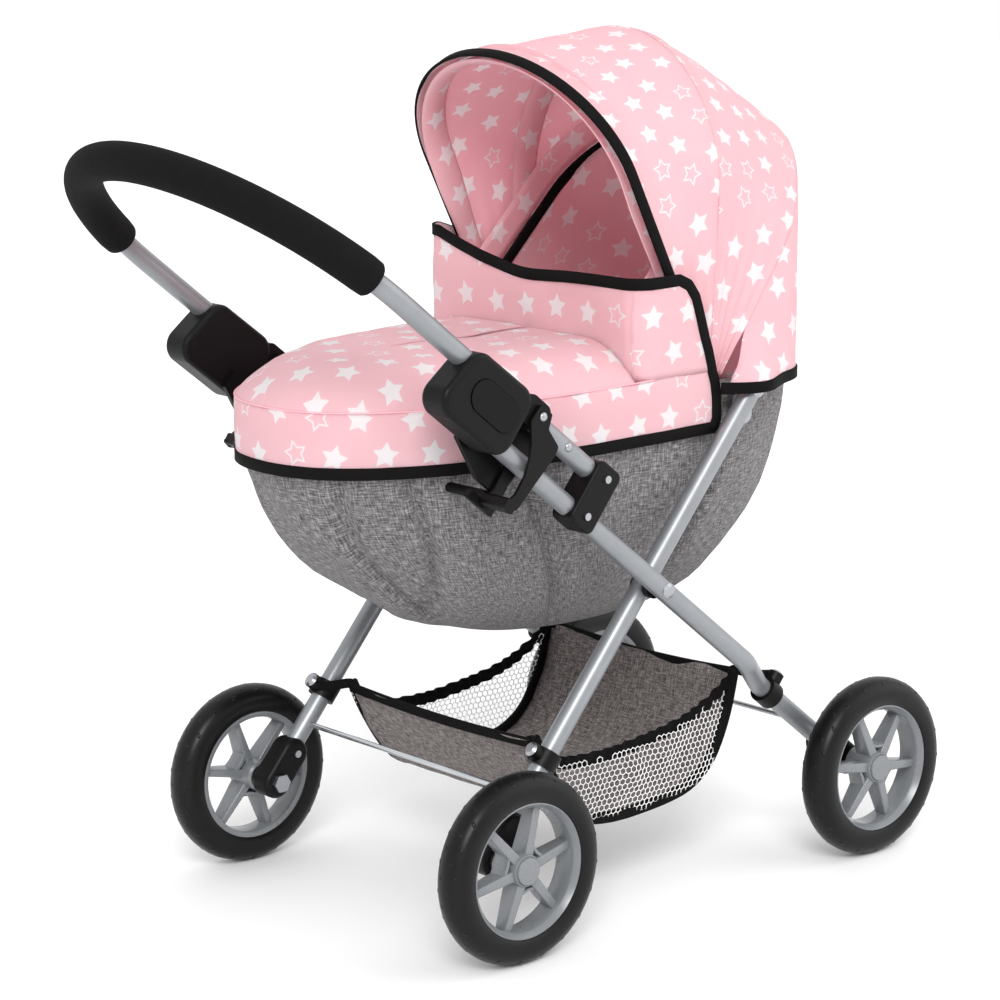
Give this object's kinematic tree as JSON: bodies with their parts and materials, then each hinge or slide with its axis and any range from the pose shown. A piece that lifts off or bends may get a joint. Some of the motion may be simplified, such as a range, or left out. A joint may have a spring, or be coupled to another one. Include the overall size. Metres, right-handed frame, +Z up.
{
  "type": "doll stroller",
  "caption": "Folding dolls' pram: soft tub with apron, wind flap and hinged hood, sliding push handle with foam grip, crossed tube legs, spoked wheels, tie rods and a basket below.",
  "frame": {"origin": "on the floor under the middle of the pram's length and width", "axes": "+X from the push handle towards the hood, +Y to the pram's left, +Z up"},
  "size_m": [0.6968, 0.369, 0.6852],
  "materials": {
    "tube": "satin",
    "zinc": "satin",
    "black_plastic": "matte",
    "foam": "matte",
    "wheel_plastic": "gloss",
    "tyre": "matte",
    "pink_fabric": "matte",
    "grey_fabric": "matte",
    "board": "matte"
  },
  "bodies": {
    "push_frame": {"front_leg_right": "tube", "front_leg_left": "tube", "adjuster_block_right": "black_plastic", "adjuster_block_left": "black_plastic", "front_foot_right": "black_plastic", "front_foot_left": "black_plastic", "front_tie_rod": "zinc", "front_axle_bolts": "zinc", "front_basket_clips": "black_plastic", "front_leg_screws": "zinc", "scissor_rivets": "zinc", "scissor_spacers": "black_plastic", "catch_hooks": "black_plastic", "basket": "grey_fabric"},
    "handle": {"handle_tube": "tube", "foam_grip": "foam", "slide_bracket_right": "black_plastic", "slide_bracket_left": "black_plastic", "bracket_rivets": "zinc"},
    "button_right": {"adjuster_button_right": "black_plastic"},
    "button_left": {"adjuster_button_left": "black_plastic"},
    "lever_right": {"fold_lever_right": "black_plastic"},
    "lever_left": {"fold_lever_left": "black_plastic"},
    "rear_frame": {"rear_leg_right": "tube", "rear_leg_left": "tube", "rear_foot_right": "black_plastic", "rear_foot_left": "black_plastic", "rear_tie_rod": "zinc", "rear_axle_bolts": "zinc", "rear_basket_clips": "black_plastic", "rear_leg_screws": "zinc", "tub_pivot_rivets": "zinc"},
    "tub": {"tub_shell": "grey_fabric", "base_board": "board", "rim_wire": "zinc", "apron": "pink_fabric", "wind_flap": "pink_fabric", "hood_back": "pink_fabric", "hood_bow_rear": "zinc", "hood_pivot_rivets": "zinc", "hinge_plates": "zinc", "catch_pegs": "black_plastic"},
    "hood_middle": {"hood_bow_middle": "zinc", "hood_rear_panel": "pink_fabric"},
    "hood_front": {"hood_bow_front": "zinc", "hood_front_panel": "pink_fabric"},
    "wheel_front_right": {"wheel_rim_front_right": "wheel_plastic", "wheel_tyre_front_right": "tyre", "hub_cap_front_right": "wheel_plastic"},
    "wheel_front_left": {"wheel_rim_front_left": "wheel_plastic", "wheel_tyre_front_left": "tyre", "hub_cap_front_left": "wheel_plastic"},
    "wheel_rear_right": {"wheel_rim_rear_right": "wheel_plastic", "wheel_tyre_rear_right": "tyre", "hub_cap_rear_right": "wheel_plastic"},
    "wheel_rear_left": {"wheel_rim_rear_left": "wheel_plastic", "wheel_tyre_rear_left": "tyre", "hub_cap_rear_left": "wheel_plastic"}
  },
  "joints": [
    {"name": "fold", "type": "hinge", "parent": "push_frame", "child": "rear_frame", "pos_m": [0.04398, 0, 0.26281], "axis": [0, -1, 0], "range_deg": [0, 57], "deforming": ["basket"]},
    {"name": "tub_level", "type": "hinge", "parent": "rear_frame", "child": "tub", "pos_m": [0.16462, 0, 0.40306], "axis": [0, 1, 0], "range_deg": [0, 57]},
    {"name": "handle_slide", "type": "slide", "parent": "push_frame", "child": "handle", "axis": [-0.7738, 0, 0.6334], "range_m": [-0.025, 0.025]},
    {"name": "button_right_press", "type": "slide", "parent": "push_frame", "child": "button_right", "axis": [0, 1, 0], "range_m": [0, 0.0016], "stiffness_N_per_m": 500, "springref_m": -0.003},
    {"name": "lever_right_pull", "type": "hinge", "parent": "push_frame", "child": "lever_right", "pos_m": [-0.09096, -0.159, 0.41939], "axis": [0, -1, 0], "range_deg": [0, 15], "stiffness_Nm_per_rad": 0.06, "springref_deg": -17.19},
    {"name": "button_left_press", "type": "slide", "parent": "push_frame", "child": "button_left", "axis": [0, -1, 0], "range_m": [0, 0.0016], "stiffness_N_per_m": 500, "springref_m": -0.003},
    {"name": "lever_left_pull", "type": "hinge", "parent": "push_frame", "child": "lever_left", "pos_m": [-0.09096, 0.159, 0.41939], "axis": [0, -1, 0], "range_deg": [0, 15], "stiffness_Nm_per_rad": 0.06, "springref_deg": -17.19},
    {"name": "hood_fold", "type": "hinge", "parent": "tub", "child": "hood_middle", "pos_m": [0.13244, 0, 0.4], "axis": [0, 1, 0], "range_deg": [0, 26], "deforming": ["hood_rear_panel"]},
    {"name": "hood_front_fold", "type": "hinge", "parent": "hood_middle", "child": "hood_front", "pos_m": [0.13244, 0, 0.4], "axis": [0, 1, 0], "range_deg": [0, 17], "deforming": ["hood_front_panel"]},
    {"name": "wheel_front_right_roll", "type": "hinge", "parent": "push_frame", "child": "wheel_front_right", "pos_m": [0.27344, -0.1705, 0.075], "axis": [0, 1, 0], "continuous": true},
    {"name": "wheel_front_left_roll", "type": "hinge", "parent": "push_frame", "child": "wheel_front_left", "pos_m": [0.27344, 0.1705, 0.075], "axis": [0, 1, 0], "continuous": true},
    {"name": "wheel_rear_right_roll", "type": "hinge", "parent": "rear_frame", "child": "wheel_rear_right", "pos_m": [-0.11756, -0.1705, 0.075], "axis": [0, 1, 0], "continuous": true},
    {"name": "wheel_rear_left_roll", "type": "hinge", "parent": "rear_frame", "child": "wheel_rear_left", "pos_m": [-0.11756, 0.1705, 0.075], "axis": [0, 1, 0], "continuous": true}
  ],
  "couplings": [
    {"joint": "tub_level", "follows": "fold", "ratio": 1},
    {"joint": "hood_front_fold", "follows": "hood_fold", "ratio": 0.65}
  ]
}
